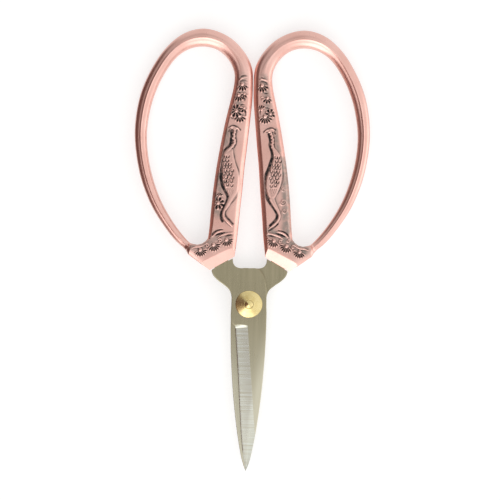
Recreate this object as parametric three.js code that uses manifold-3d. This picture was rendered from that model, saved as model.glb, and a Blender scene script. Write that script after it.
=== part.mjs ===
// Floral snips: two cast loop handles, two bevelled blades whose tangs sit in the
// handles, and a riveted pivot between two brass cone washers.
//
// Millimetres. The origin is on the pivot's axis at table level, +Z is up off the
// table, +Y runs from the pivot towards the finger loops and -Y towards the tips.
// The two halves are the same: one is the other turned over about the Y direction.

import * as THREE from 'three';
import { mergeVertices } from 'three/addons/utils/BufferGeometryUtils.js';
import Module from 'manifold-3d';

const wasm = await Module();
wasm.setup();

// Driving dimensions
const MID_HEIGHT = 4; // the plane where the two halves meet
const HANDLE_HALF_THICKNESS = 4; // shank and collar
const BLADE_THICKNESS = 1.8;
const BLADE_GAP = 0.1; // between the two blades
const BEVEL_SLOPE = 0.31; // rise of the ground bevel per millimetre of its width
const BEVEL_WIDTH = 8; // the cutter reaches this far, past the cutting edge
const BEVEL_LENGTH = 60;
const BEVEL_START = { x: 0.2, y: -7.9 }; // where the bevel's inner line begins
const BEVEL_TURN = 0.08; // sideways run of that line per millimetre towards the tip
const CUTTER_LEAD = 1; // the cutter starts this far outside the inner line
const CUTTER_DEPTH = 2; // and this far below the blade

const RIVET_RADIUS = 1.45;
const RIVET_CHAMFER = 0.5;
const PIVOT_HOLE_RADIUS = 1.55;
const HOLE_CUT_LENGTH = 3 * BLADE_THICKNESS;
const WASHER_RADIUS = 4.7;
const WASHER_RIM = 0.35;
const WASHER_HEIGHT = 1.75;
const WASHER_TOP_RADIUS = 1.75;
const WASHER_GAP = 0.1; // between a washer and its blade

const COLLAR_GAP = 0.3; // between the blade's shoulder and the collar's face
const SHOULDER_INNER_INSET = 1; // the shoulder's ends, in from the collar's corners
const SHOULDER_TIP_INSET = 0.8;
const TANG_START = { x: 9.9, y: 13.4, half: 2.4 };
const TANG_ROOT_Y = 11; // the tang's outline begins inside the blade's wing
const TANG_END = { x: 9.3, y: 26.5, half: 1.6 };
const POCKET_CLEARANCE = 0.3; // round the tang, in the plane of the blade
const POCKET_DEPTH_CLEARANCE = 0.15; // over and under the tang
const POCKET_MOUTH_Y = 9.5; // outside the collar, so that the pocket is open

const ROUND_SEGMENTS = 36;
const STEPS_PER_STATION = 3;
const CORNER_STEPS = 3;

// Collar corners of the right handle, in its own plane
const COLLAR_INNER = { x: 5.4, y: 16.6 };
const COLLAR_TIP = { x: 14, y: 11.7 };

// Sections round the right handle's finger loop. Each runs from the loop's opening to
// the handle's outer rim: loop x, loop y, rim x, rim y, half thickness, edge radius.
const RING_STATIONS = [
  [14.8, 22.9, COLLAR_INNER.x, COLLAR_INNER.y, 4, 0.7],
  [14.4, 26.3, 4.6, 23, 4, 1.2],
  [14.0, 32, 3.9, 31.5, 4, 1.4],
  [13.3, 40, 3.1, 40, 4, 1.4],
  [12.3, 48, 2.5, 48, 4, 1.4],
  [11.0, 56, 1.65, 56, 4, 1.4],
  [9.5, 64, 0.9, 64, 4, 1.4],
  [7.8, 71.5, 0.25, 71.5, 4, 1.5],
  [6.7, 77, 0.15, 77.5, 3.9, 1.8],
  [6.8, 81.5, 0.5, 83, 3.7, 2.4],
  [9, 85.8, 3.1, 88.2, 3.4, 2.8],
  [13, 89.1, 8.6, 93.6, 3.1, 2.8],
  [18, 90.1, 16.9, 96.5, 2.9, 2.7],
  [23, 89, 24.6, 94.7, 2.7, 2.6],
  [27.2, 86, 30.6, 89.8, 2.6, 2.5],
  [30.6, 81.3, 34.8, 83.8, 2.6, 2.3],
  [33.4, 75.8, 38.3, 76.6, 2.6, 2.3],
  [35.7, 68.8, 40.4, 69.2, 2.5, 2.1],
  [36.95, 60, 41.3, 60, 2.5, 2.1],
  [36.4, 51.5, 40.5, 51, 2.5, 2.1],
  [34.5, 43.4, 38.5, 42.4, 2.5, 2.0],
  [31.6, 35.8, 34.9, 33.8, 2.4, 1.9],
  [27.8, 29.2, 30.5, 27, 2.3, 1.7],
  [24.2, 24.3, 26.3, 21.8, 2.3, 1.4],
  [21.9, 21.8, 23.4, 19.4, 2.5, 1.2],
];

// The collar block closes the ring with straight runs between sharp corners.
const COLLAR_STATIONS = [
  [20.9, 21.1, 22.3, 18.2, 2.9, 0.9],
  [20.2, 20.8, 21.6, 17, 3.9, 0.5],
  [18.5, 20.5, 17.8, 14.3, 4, 0.5],
  [16.9, 20.9, COLLAR_TIP.x, COLLAR_TIP.y, 4, 0.5],
  [15.6, 21.8, 9.7, 14.15, 4, 0.5],
];

// Outline of the rear blade without its tang: tip, spine, crotch, wing, cutting edge.
// The spine is on the -X side and the wing runs to the handle on the +X side.
const BLADE_TIP = [0, -58.5];
const SPINE_TO_CROTCH = [
  [-0.95, -56.2],
  [-1.95, -52.4],
  [-3.1, -46.1],
  [-4.0, -39.8],
  [-4.75, -33.6],
  [-5.45, -26],
  [-6.0, -16.8],
  [-6.25, -6.4],
  [-6.15, 0],
  [-6.1, 3.9],
  [-5.8, 6.9],
  [-5, 9.8],
  [-3.9, 11.7],
  [-2.4, 12.6],
];
const CROTCH_TO_SHOULDER = [
  [3.4, 12.6],
  [4.8, 13.1],
  [5.7, 14.2],
];
const WING_TO_EDGE = [
  [13.2, 10.6],
  [12, 9],
  [10, 7.3],
  [7.7, 5.7],
  [6.5, 4.2],
  [6.15, 2.4],
  [6.2, -5.6],
  [4.7, -7.7],
  [3.1, -27.8],
  [2.1, -42.9],
  [1.2, -52],
];

const HANDLE_METAL = { color: 0xd99a88, roughness: 0.38, metalness: 1 };
const BLADE_METAL = { color: 0xb3ad99, roughness: 0.32, metalness: 1 };
const BRASS = { color: 0xdcc070, roughness: 0.25, metalness: 1 };

function toManifold(geometry) {
  const bare = geometry.clone();
  bare.deleteAttribute('normal');
  bare.deleteAttribute('uv');
  const merged = mergeVertices(bare);
  return new wasm.Manifold(
    new wasm.Mesh({
      numProp: 3,
      vertProperties: new Float32Array(merged.attributes.position.array),
      triVerts: new Uint32Array(merged.index.array),
    }),
  );
}

function toGeometry(manifold) {
  const mesh = manifold.getMesh();
  const geometry = new THREE.BufferGeometry();
  geometry.setAttribute('position', new THREE.BufferAttribute(mesh.vertProperties, 3));
  geometry.setIndex(new THREE.BufferAttribute(mesh.triVerts, 1));
  geometry.computeVertexNormals();
  return geometry;
}

// A flat plate with the given outline, standing on the height z.
function plate(points, z, thickness) {
  const shape = new THREE.Shape(points.map(([x, y]) => new THREE.Vector2(x, y)));
  const geometry = new THREE.ExtrudeGeometry(shape, { depth: thickness, bevelEnabled: false });
  return geometry.translate(0, 0, z);
}

// Rounded-rectangle section: pairs of (across, up), counter-clockwise.
function sectionPoints(halfWidth, halfThickness, edgeRadius) {
  const across = Math.min(edgeRadius, halfWidth * 0.98);
  const up = Math.min(edgeRadius, halfThickness * 0.98);
  const points = [];
  for (let corner = 0; corner < 4; corner += 1) {
    const side = corner === 0 || corner === 3 ? 1 : -1;
    const level = corner < 2 ? 1 : -1;
    for (let step = 0; step <= CORNER_STEPS; step += 1) {
      const angle = (corner + step / CORNER_STEPS) * (Math.PI / 2);
      points.push([
        side * (halfWidth - across) + across * Math.cos(angle),
        level * (halfThickness - up) + up * Math.sin(angle),
      ]);
    }
  }
  return points;
}

// The stations with smooth ones put between them along Catmull-Rom curves.
function refinedStations() {
  const curve = (a, b, c) =>
    new THREE.CatmullRomCurve3(RING_STATIONS.map((s) => new THREE.Vector3(s[a], s[b], s[c])));
  const loop = curve(0, 1, 4);
  const rim = curve(2, 3, 5);
  const count = (RING_STATIONS.length - 1) * STEPS_PER_STATION;
  const smooth = [];
  for (let i = 0; i <= count; i += 1) {
    const inner = loop.getPoint(i / count);
    const outer = rim.getPoint(i / count);
    const half = Math.min(inner.z, HANDLE_HALF_THICKNESS);
    smooth.push([inner.x, inner.y, outer.x, outer.y, half, outer.z]);
  }
  return [...smooth, ...COLLAR_STATIONS];
}

// A closed ring swept through all stations, with the tang's pocket cut into its collar.
function handleGeometry() {
  const stations = refinedStations();
  const positions = [];
  for (const [loopX, loopY, rimX, rimY, half, radius] of stations) {
    const width = Math.hypot(rimX - loopX, rimY - loopY);
    for (const [across, up] of sectionPoints(width / 2, half, radius)) {
      const share = 0.5 + across / width;
      positions.push(loopX + (rimX - loopX) * share, loopY + (rimY - loopY) * share, MID_HEIGHT + up);
    }
  }
  const around = 4 * (CORNER_STEPS + 1);
  const faces = [];
  for (let i = 0; i < stations.length; i += 1) {
    const next = (i + 1) % stations.length;
    for (let j = 0; j < around; j += 1) {
      const beside = (j + 1) % around;
      const a = i * around + j;
      const b = next * around + j;
      const c = next * around + beside;
      const d = i * around + beside;
      faces.push(a, c, b, a, d, c);
    }
  }
  const ring = new THREE.BufferGeometry();
  ring.setAttribute('position', new THREE.Float32BufferAttribute(positions, 3));
  ring.setIndex(faces);
  const depth = BLADE_THICKNESS + 2 * POCKET_DEPTH_CLEARANCE;
  const pocket = plate(
    tangOutline(POCKET_CLEARANCE, POCKET_MOUTH_Y),
    rearBladeBottom() - POCKET_DEPTH_CLEARANCE,
    depth,
  );
  return toGeometry(toManifold(ring).subtract(toManifold(pocket)));
}

function rearBladeBottom() {
  return MID_HEIGHT - BLADE_GAP / 2 - BLADE_THICKNESS;
}

// The tapered tang, or with a clearance the pocket that takes it. Below the tang's start
// the outline runs straight down to mouthY.
function tangOutline(clearance, mouthY) {
  const startHalf = TANG_START.half + clearance;
  const endHalf = TANG_END.half + clearance;
  const endY = TANG_END.y + clearance;
  return [
    [TANG_START.x - startHalf, mouthY],
    [TANG_START.x + startHalf, mouthY],
    [TANG_START.x + startHalf, TANG_START.y],
    [TANG_END.x + endHalf, endY],
    [TANG_END.x - endHalf, endY],
    [TANG_START.x - startHalf, TANG_START.y],
  ];
}

// The blade's shoulder runs along the collar's face, a small gap away from it.
function shoulderPoints() {
  const along = new THREE.Vector2(COLLAR_TIP.x - COLLAR_INNER.x, COLLAR_TIP.y - COLLAR_INNER.y);
  const length = along.length();
  along.normalize();
  const point = (distance) => [
    COLLAR_INNER.x + along.x * distance + along.y * COLLAR_GAP,
    COLLAR_INNER.y + along.y * distance - along.x * COLLAR_GAP,
  ];
  return [point(SHOULDER_INNER_INSET), point(length - SHOULDER_TIP_INSET)];
}

function bladeGeometry() {
  const bottom = rearBladeBottom();
  const outline = [
    BLADE_TIP,
    ...SPINE_TO_CROTCH,
    ...CROTCH_TO_SHOULDER,
    ...shoulderPoints(),
    ...WING_TO_EDGE,
  ];
  const body = toManifold(plate(outline, bottom, BLADE_THICKNESS));
  const tang = toManifold(plate(tangOutline(0, TANG_ROOT_Y), bottom, BLADE_THICKNESS));
  const hole = new THREE.CylinderGeometry(
    PIVOT_HOLE_RADIUS,
    PIVOT_HOLE_RADIUS,
    HOLE_CUT_LENGTH,
    ROUND_SEGMENTS,
  );
  hole.rotateX(Math.PI / 2);
  hole.translate(0, 0, bottom + BLADE_THICKNESS / 2);
  return toGeometry(body.add(tang).subtract(toManifold(hole)).subtract(bevelCutter(bottom)));
}

// A wedge under the blade: its sloping top is the ground bevel, which rises from the
// inner line to the cutting edge.
function bevelCutter(bottom) {
  const profile = new THREE.Shape([
    new THREE.Vector2(-CUTTER_LEAD, -CUTTER_LEAD * BEVEL_SLOPE),
    new THREE.Vector2(-CUTTER_LEAD, -CUTTER_DEPTH),
    new THREE.Vector2(BEVEL_WIDTH, -CUTTER_DEPTH),
    new THREE.Vector2(BEVEL_WIDTH, BEVEL_WIDTH * BEVEL_SLOPE),
  ]);
  const wedge = new THREE.ExtrudeGeometry(profile, { depth: BEVEL_LENGTH, bevelEnabled: false });
  const down = new THREE.Vector3(-BEVEL_TURN, -1, 0).normalize();
  const up = new THREE.Vector3(0, 0, 1);
  const across = new THREE.Vector3().crossVectors(up, down);
  wedge.applyMatrix4(new THREE.Matrix4().makeBasis(across, up, down));
  wedge.translate(BEVEL_START.x, BEVEL_START.y, bottom);
  return toManifold(wedge);
}

// A solid of revolution about the vertical axis from (radius, height) pairs.
function turned(profile) {
  const points = profile.map(([radius, height]) => new THREE.Vector2(radius, height));
  return new THREE.LatheGeometry(points, ROUND_SEGMENTS).rotateX(Math.PI / 2);
}

function rivetGeometry() {
  const top = 2 * MID_HEIGHT;
  return turned([
    [0, 0],
    [RIVET_RADIUS - RIVET_CHAMFER, 0],
    [RIVET_RADIUS, RIVET_CHAMFER],
    [RIVET_RADIUS, top - RIVET_CHAMFER],
    [RIVET_RADIUS - RIVET_CHAMFER, top],
    [0, top],
  ]);
}

// The cone washer under the rear blade, its rim against the blade.
function washerGeometry() {
  const seat = rearBladeBottom() - WASHER_GAP;
  return turned([
    [PIVOT_HOLE_RADIUS, seat],
    [PIVOT_HOLE_RADIUS, seat - WASHER_HEIGHT],
    [WASHER_TOP_RADIUS, seat - WASHER_HEIGHT],
    [WASHER_RADIUS, seat - WASHER_RIM],
    [WASHER_RADIUS, seat],
    [PIVOT_HOLE_RADIUS, seat],
  ]);
}

function named(name, geometry, finish) {
  const mesh = new THREE.Mesh(geometry, new THREE.MeshStandardMaterial(finish));
  mesh.name = name;
  return mesh;
}

function half(names) {
  const group = new THREE.Group();
  group.add(named(names.handle, handleGeometry(), HANDLE_METAL));
  group.add(named(names.blade, bladeGeometry(), BLADE_METAL));
  group.add(named(names.washer, washerGeometry(), BRASS));
  return group;
}

const snips = new THREE.Group();
snips.add(half({ handle: 'right_handle', blade: 'rear_blade', washer: 'rear_washer' }));

const upperHalf = half({ handle: 'left_handle', blade: 'front_blade', washer: 'front_washer' });
upperHalf.rotation.y = Math.PI;
upperHalf.position.z = 2 * MID_HEIGHT;
snips.add(upperHalf);

snips.add(named('pivot_rivet', rivetGeometry(), BRASS));

export default snips;
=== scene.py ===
# Floral snips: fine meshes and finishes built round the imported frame.
# Shapes are worked out in millimetres, in the right (rear) half's own plane, and the
# left (front) half is the same shape turned over about the Y direction.

import math

import bpy
import numpy as np
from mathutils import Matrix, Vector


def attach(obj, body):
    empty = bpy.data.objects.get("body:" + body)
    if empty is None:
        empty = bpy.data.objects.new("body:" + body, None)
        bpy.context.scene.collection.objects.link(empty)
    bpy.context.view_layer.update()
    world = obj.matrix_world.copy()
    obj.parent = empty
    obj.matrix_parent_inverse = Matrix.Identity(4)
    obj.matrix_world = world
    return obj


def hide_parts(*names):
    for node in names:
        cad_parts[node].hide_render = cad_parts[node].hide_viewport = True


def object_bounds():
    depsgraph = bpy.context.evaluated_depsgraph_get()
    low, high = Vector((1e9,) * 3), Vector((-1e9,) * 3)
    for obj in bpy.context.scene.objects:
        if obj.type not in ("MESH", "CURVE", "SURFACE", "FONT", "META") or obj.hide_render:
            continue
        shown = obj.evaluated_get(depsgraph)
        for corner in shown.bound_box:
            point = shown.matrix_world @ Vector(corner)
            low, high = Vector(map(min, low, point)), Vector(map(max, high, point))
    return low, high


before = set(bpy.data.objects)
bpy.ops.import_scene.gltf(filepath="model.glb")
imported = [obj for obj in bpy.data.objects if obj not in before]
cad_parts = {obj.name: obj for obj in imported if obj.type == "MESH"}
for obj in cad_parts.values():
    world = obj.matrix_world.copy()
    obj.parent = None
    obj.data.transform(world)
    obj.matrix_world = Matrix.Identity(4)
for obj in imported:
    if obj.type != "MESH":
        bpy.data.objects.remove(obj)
CAD_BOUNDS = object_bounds()

MM = 0.001
MID = 4.0  # height of the plane where the halves meet
FACE = 3.68  # height of a handle's plain face above the middle plane
BLADE_THICKNESS = 1.8
BLADE_GAP = 0.1
BLADE_BOTTOM = MID - BLADE_GAP / 2 - BLADE_THICKNESS  # the rear blade's outer side
BLADE_TOP = MID - BLADE_GAP / 2

# ----------------------------------------
# The handle's ring: sections from the finger loop to the outer rim
# loop x, loop y, rim x, rim y, half thickness, edge size, roundness of the edge
# ----------------------------------------

RING = [
    (14.8, 22.9, 5.4, 16.6, 3.7, 0.9, 0.1),
    (14.4, 26.3, 4.6, 23.0, 3.7, 1.1, 0.1),
    (14.0, 32.0, 3.9, 31.5, 3.7, 1.2, 0.1),
    (13.3, 40.0, 3.1, 40.0, 3.7, 1.2, 0.1),
    (12.3, 48.0, 2.5, 48.0, 3.7, 1.2, 0.1),
    (11.0, 56.0, 1.65, 56.0, 3.7, 1.2, 0.1),
    (9.5, 64.0, 0.9, 64.0, 3.7, 1.2, 0.1),
    (7.8, 71.5, 0.25, 71.5, 3.7, 1.3, 0.2),
    (6.7, 77.0, 0.15, 77.5, 3.7, 1.6, 0.5),
    (6.8, 81.5, 0.5, 83.0, 3.6, 2.4, 1.0),
    (9.0, 85.8, 3.1, 88.2, 3.4, 2.7, 1.0),
    (13.0, 89.1, 8.6, 93.6, 3.1, 2.8, 1.0),
    (18.0, 90.1, 16.9, 96.5, 2.9, 2.7, 1.0),
    (23.0, 89.0, 24.6, 94.7, 2.7, 2.6, 1.0),
    (27.2, 86.0, 30.6, 89.8, 2.6, 2.5, 1.0),
    (30.6, 81.3, 34.8, 83.8, 2.6, 2.3, 1.0),
    (33.4, 75.8, 38.3, 76.6, 2.6, 2.2, 1.0),
    (35.7, 68.8, 40.4, 69.2, 2.5, 2.1, 1.0),
    (36.95, 60.0, 41.3, 60.0, 2.5, 2.0, 1.0),
    (36.4, 51.5, 40.5, 51.0, 2.5, 2.0, 1.0),
    (34.5, 43.4, 38.5, 42.4, 2.5, 2.0, 1.0),
    (31.6, 35.8, 34.9, 33.8, 2.4, 1.8, 1.0),
    (27.8, 29.2, 30.5, 27.0, 2.3, 1.6, 1.0),
    (24.2, 24.3, 26.3, 21.8, 2.3, 1.4, 1.0),
    (21.9, 21.8, 23.4, 19.4, 2.4, 1.3, 1.0),
]
# The collar's corners: straight runs between them.
COLLAR = [
    (21.3, 21.3, 22.6, 18.5, 2.5, 1.2, 1.0),
    (21.0, 21.1, 22.3, 18.2, 3.3, 1.2, 1.0),
    (20.2, 20.8, 21.6, 17.0, 3.7, 0.6, 0.3),
    (18.5, 20.5, 17.8, 14.3, 3.7, 0.45, 0.2),
    (16.9, 20.9, 14.0, 11.7, 3.7, 0.45, 0.2),
    (15.6, 21.8, 9.7, 14.15, 3.7, 0.45, 0.2),
    (14.8, 22.9, 5.4, 16.6, 3.7, 0.9, 0.1),
]
RELIEF_TOP_Y = 83.0  # the ornament ends below the bow
FINE_STEP = 0.14
BOW_STEP = 1.2
SMOOTHING = 1.4  # length over which the listed sections are evened out
EVEN_STEP = 0.1  # spacing of the sections while they are evened out
UPPER_COLUMNS = 60  # across the face that is seen from above
UNDER_COLUMNS = 36
FACE_CROWN = 0.14  # how much lower the sides of the face lie than its middle
EDGE_WIDTH_SHARE = 0.44  # the most of a section's width that one edge takes
EDGE_HEIGHT_SHARE = 0.9  # the most of its half thickness
RIM_CHAMFER = 1.3  # how many times wider the shank's outer chamfer is than the loop's
# Where the points of an edge lie, as shares of it; those outside 0 to 1 soften its ends.
CHAMFER_SHARES = np.array([-0.14, 0.03, 0.15, 0.33, 0.5, 0.67, 0.85, 0.97, 1.14])

# The collar's end face is chamfered below this line, in its own plane.
CHAMFER_LINE = ((4.6, 20.7), (17.7, 13.9))
CHAMFER_SLOPE = 0.36
CHAMFER_TOP_Y = 23  # the handle above this is left as it is
RELIEF_FADE = 0.35  # the relief fades out over this width at the sides of the face
RELIEF_FADE_POWER = 0.7
BELL_REACH = 3  # how many widths a bell curve is followed out


def along(points):
    """Distance along a chain of points."""
    steps = np.linalg.norm(np.diff(points, axis=0), axis=1)
    return np.concatenate(([0.0], np.cumsum(steps)))


def catmull_rom(rows, per_span=24):
    """Rows of numbers joined by smooth curves, with per_span steps between two rows."""
    rows = np.asarray(rows, float)
    ends = np.vstack((2 * rows[0] - rows[1], rows, 2 * rows[-1] - rows[-2]))
    out = []
    for a, b, c, d in zip(ends[:-3], ends[1:-2], ends[2:-1], ends[3:]):
        t = np.linspace(0, 1, per_span, endpoint=False)[:, None]
        out.append(
            0.5 * (2 * b + (c - a) * t + (2 * a - 5 * b + 4 * c - d) * t**2
                   + (3 * b - a - 3 * c + d) * t**3)
        )
    return np.vstack(out + [rows[-1:]])


def resample(rows, spots, position):
    """The rows at other positions along them."""
    return np.stack([np.interp(spots, position, rows[:, k]) for k in range(rows.shape[1])], 1)


def bell_curve(width, step):
    """Weights that add up to 1, a step apart, and how many there are on each side."""
    reach = int(BELL_REACH * width / step)
    bell = np.exp(-0.5 * (np.arange(-reach, reach + 1) * step / width) ** 2)
    return bell / bell.sum(), reach


def smooth_rows(rows, position, width):
    """The rows evened out with a bell curve of this width, keeping both ends in place, and
    their positions."""
    even = np.linspace(0, position[-1], int(position[-1] / EVEN_STEP) + 1)
    rows = resample(rows, even, position)
    bell, reach = bell_curve(width, EVEN_STEP)
    before = 2 * rows[0] - rows[reach:0:-1]
    after = 2 * rows[-1] - rows[-2:-reach - 2:-1]
    padded = np.vstack((before, rows, after))
    evened = [np.convolve(padded[:, k], bell, "valid") for k in range(rows.shape[1])]
    return np.stack(evened, 1), even


def handle_sections():
    """All sections round the ring, fine where there is relief and coarser on the bow."""
    rows = catmull_rom(RING)
    middle = (rows[:, :2] + rows[:, 2:4]) / 2
    rows, position = smooth_rows(rows, along(middle), SMOOTHING)
    first_bow = np.argmax(rows[:, 3] > RELIEF_TOP_Y)
    start = position[first_bow]
    spots = np.concatenate((
        np.arange(0, start, FINE_STEP),
        np.arange(start, position[-1] - BOW_STEP, BOW_STEP),
        [position[-1]],
    ))
    smooth = resample(rows, spots, position)
    collar = np.array(COLLAR)
    position = along(collar[:, 2:4])
    spots = np.arange(0, position[-1], FINE_STEP)
    return np.vstack((smooth, resample(collar, spots, position)))


# ----------------------------------------
# Relief: a height map over the handle's face, drawn with a few strokes
# ----------------------------------------

CELL = 0.08
STROKE_STEPS = 5  # between two points of a stroke
OUTLINE_STEPS = 4  # between two points of a closed outline
THINNEST_STROKE = 0.03
TINY = 1e-9
MAP_LOW = np.array([-1.0, 10.0])
MAP_HIGH = np.array([26.0, 86.0])


class Relief:
    """Heights over the plain face, in millimetres, on an even grid of cells, with two
    colour layers: a grey wash, and ink for the black lines."""

    def __init__(self):
        count = ((MAP_HIGH - MAP_LOW) / CELL).astype(int)
        self.height = np.zeros((count[1], count[0]))
        self.wash = np.zeros_like(self.height)
        self.ink = np.zeros_like(self.height)

    def window(self, points, reach):
        """The cells within reach of the points: their place in the map, and where they lie."""
        low = np.floor((np.min(points, 0) - reach - MAP_LOW) / CELL).astype(int)
        high = np.ceil((np.max(points, 0) + reach - MAP_LOW) / CELL).astype(int) + 1
        low = np.maximum(low, 0)
        high = np.minimum(high, self.height.shape[::-1])
        x = MAP_LOW[0] + CELL * np.arange(low[0], high[0])
        y = MAP_LOW[1] + CELL * np.arange(low[1], high[1])
        return (slice(low[1], high[1]), slice(low[0], high[0])), np.stack(np.meshgrid(x, y), -1)

    def profile(self, points, widths):
        """How deep each cell lies in a stroke: 1 on its middle line and 0 at its sides."""
        points = np.asarray(points, float)
        widths = np.broadcast_to(widths, len(points)).astype(float)
        where, cells = self.window(points, widths.max())
        best = np.zeros(cells.shape[:2])
        for a, b, wa, wb in zip(points[:-1], points[1:], widths[:-1], widths[1:]):
            distance, t = distance_to_line(cells, a, b)
            best = np.maximum(best, 1 - distance / (wa + (wb - wa) * t))
        return where, best

    def ridge(self, points, widths, height, curved=True):
        """A raised rounded stroke."""
        if curved:
            points, widths = smooth_stroke(points, widths)
        where, inside = self.profile(points, widths)
        rounded = np.sqrt(np.clip(inside * (2 - inside), 0, 1))
        self.height[where] = np.maximum(self.height[where], height * rounded)

    def cut(self, points, widths, depth, curved=True):
        """An engraved stroke, cut into whatever is there."""
        if curved:
            points, widths = smooth_stroke(points, widths)
        where, inside = self.profile(points, widths)
        self.height[where] -= depth * np.sqrt(np.clip(inside, 0, 1))

    def moat(self, points, widths, reach=0.34, depth=0.14):
        """A shallow ditch beside a stroke that is raised afterwards."""
        points, widths = smooth_stroke(points, widths)
        where, inside = self.profile(points, widths + reach)
        self.height[where] = np.minimum(self.height[where], -depth * np.clip(3 * inside, 0, 1))

    def mark(self, layer, points, widths, strength=1.0, crisp=1.0):
        """A soft stroke in one of the colour layers, wash or ink."""
        points, widths = smooth_stroke(points, widths)
        where, inside = self.profile(points, widths)
        shade = np.clip(inside * crisp, 0, 1)
        shade = strength * shade * shade * (3 - 2 * shade)
        layer[where] = np.maximum(layer[where], shade)

    def groove(self, points, widths, depth=0.16, strength=1.0):
        """A shallow groove filled with black patina."""
        self.cut(points, widths, depth)
        self.mark(self.ink, points, np.asarray(widths) * 1.25, strength, 2.4)

    def dome(self, x, y, radius, height):
        """A round boss."""
        self.ridge([(x, y), (x, y + 0.01)], radius, height, curved=False)

    def body(self, outline, height, shoulder):
        """A raised shape with a rounded shoulder."""
        outline = closed_curve(outline)
        where, cells = self.window(outline, 0.2)
        distance = np.full(cells.shape[:2], np.inf)
        inside = np.zeros(cells.shape[:2], bool)
        for a, b in zip(outline, np.roll(outline, -1, 0)):
            distance = np.minimum(distance, distance_to_line(cells, a, b)[0])
            crossed = (a[1] > cells[..., 1]) != (b[1] > cells[..., 1])
            climb = b[1] - a[1]
            slope = (b[0] - a[0]) / (climb if abs(climb) > TINY else TINY)
            inside ^= crossed & (cells[..., 0] < a[0] + slope * (cells[..., 1] - a[1]))
        rise = np.clip(distance / shoulder, 0, 1) * inside
        self.height[where] = np.maximum(self.height[where], height * np.sqrt(rise * (2 - rise)))

    def petals(self, x, y, radius, angles, height, whole=False):
        """Round-ended petals with black wedges between them, about a small eye."""
        step = angles[1] - angles[0]
        gaps = angles + step / 2 if whole else (angles[1:] + angles[:-1]) / 2
        shares = np.array([0.42, 0.62, 0.82, 0.94])[:, None] * radius
        for angle in angles:
            ray = np.array([math.cos(angle), math.sin(angle)])
            widths = np.array([0.16, 0.27, 0.35, 0.26]) * step * radius
            self.ridge((x, y) + ray * shares, widths, height)
        for angle in gaps:
            ray = np.array([math.cos(angle), math.sin(angle)])
            widths = np.array([0.16, 0.28, 0.34, 0.16]) * step * radius
            self.groove((x, y) + ray * shares, widths, 0.3)
        self.dome(x, y, 0.3 * radius, height)

    def fan(self, x, y, radius, facing, petals=6, spread=70, height=0.3):
        """A half flower that faces one direction, in degrees."""
        self.petals(x, y, radius, np.radians(facing + np.linspace(-spread, spread, petals)), height)

    def rosette(self, x, y, radius, petals=9, height=0.3):
        """A whole flower."""
        angles = 2 * math.pi / petals * np.arange(petals)
        self.petals(x, y, radius, angles, height, whole=True)

    def volute(self, x, y, radius, turns, start, height=0.24, hand=1):
        """A spiral that runs in from the given direction, in degrees."""
        t = np.linspace(0, 1, 26)
        angle = math.radians(start) + hand * 2 * math.pi * turns * t
        reach = radius * (1 - 0.82 * t)
        points = np.stack((x + reach * np.cos(angle), y + reach * np.sin(angle)), 1)
        self.ridge(points, 0.13 + 0.1 * (1 - t), height, curved=False)

    def sample(self, values, x, y):
        """Values of a map at any places, in between its cells."""
        u = np.clip((x - MAP_LOW[0]) / CELL, 0, values.shape[1] - 1.001)
        v = np.clip((y - MAP_LOW[1]) / CELL, 0, values.shape[0] - 1.001)
        i, j = u.astype(int), v.astype(int)
        fu, fv = u - i, v - j
        return (values[j, i] * (1 - fu) * (1 - fv) + values[j, i + 1] * fu * (1 - fv)
                + values[j + 1, i] * (1 - fu) * fv + values[j + 1, i + 1] * fu * fv)


def distance_to_line(cells, start, end):
    """How far each cell is off the line, and at what share of it the nearest point lies."""
    line = end - start
    t = np.clip(((cells - start) @ line) / max(line @ line, TINY), 0, 1)
    return np.linalg.norm(cells - start - t[..., None] * line, axis=-1), t


def smooth_stroke(points, widths):
    """A stroke's points and widths along a smooth curve."""
    points = np.asarray(points, float)
    widths = np.broadcast_to(widths, len(points))
    rows = catmull_rom(np.column_stack((points, widths)), STROKE_STEPS)
    return rows[:, :2], np.maximum(rows[:, 2], THINNEST_STROKE)


def closed_curve(points):
    """A smooth closed line through the points."""
    points = list(points)
    rows = catmull_rom(points[-2:] + points + points[:3], OUTLINE_STEPS)
    first = 2 * OUTLINE_STEPS
    return rows[first:first + OUTLINE_STEPS * len(points)]


def blurred(values, width):
    """A map blurred with a bell curve, width in millimetres."""
    bell, reach = bell_curve(width, CELL)
    padded = np.pad(values, reach, mode="edge")
    padded = np.apply_along_axis(lambda row: np.convolve(row, bell, "valid"), 1, padded)
    return np.apply_along_axis(lambda row: np.convolve(row, bell, "valid"), 0, padded)


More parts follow.
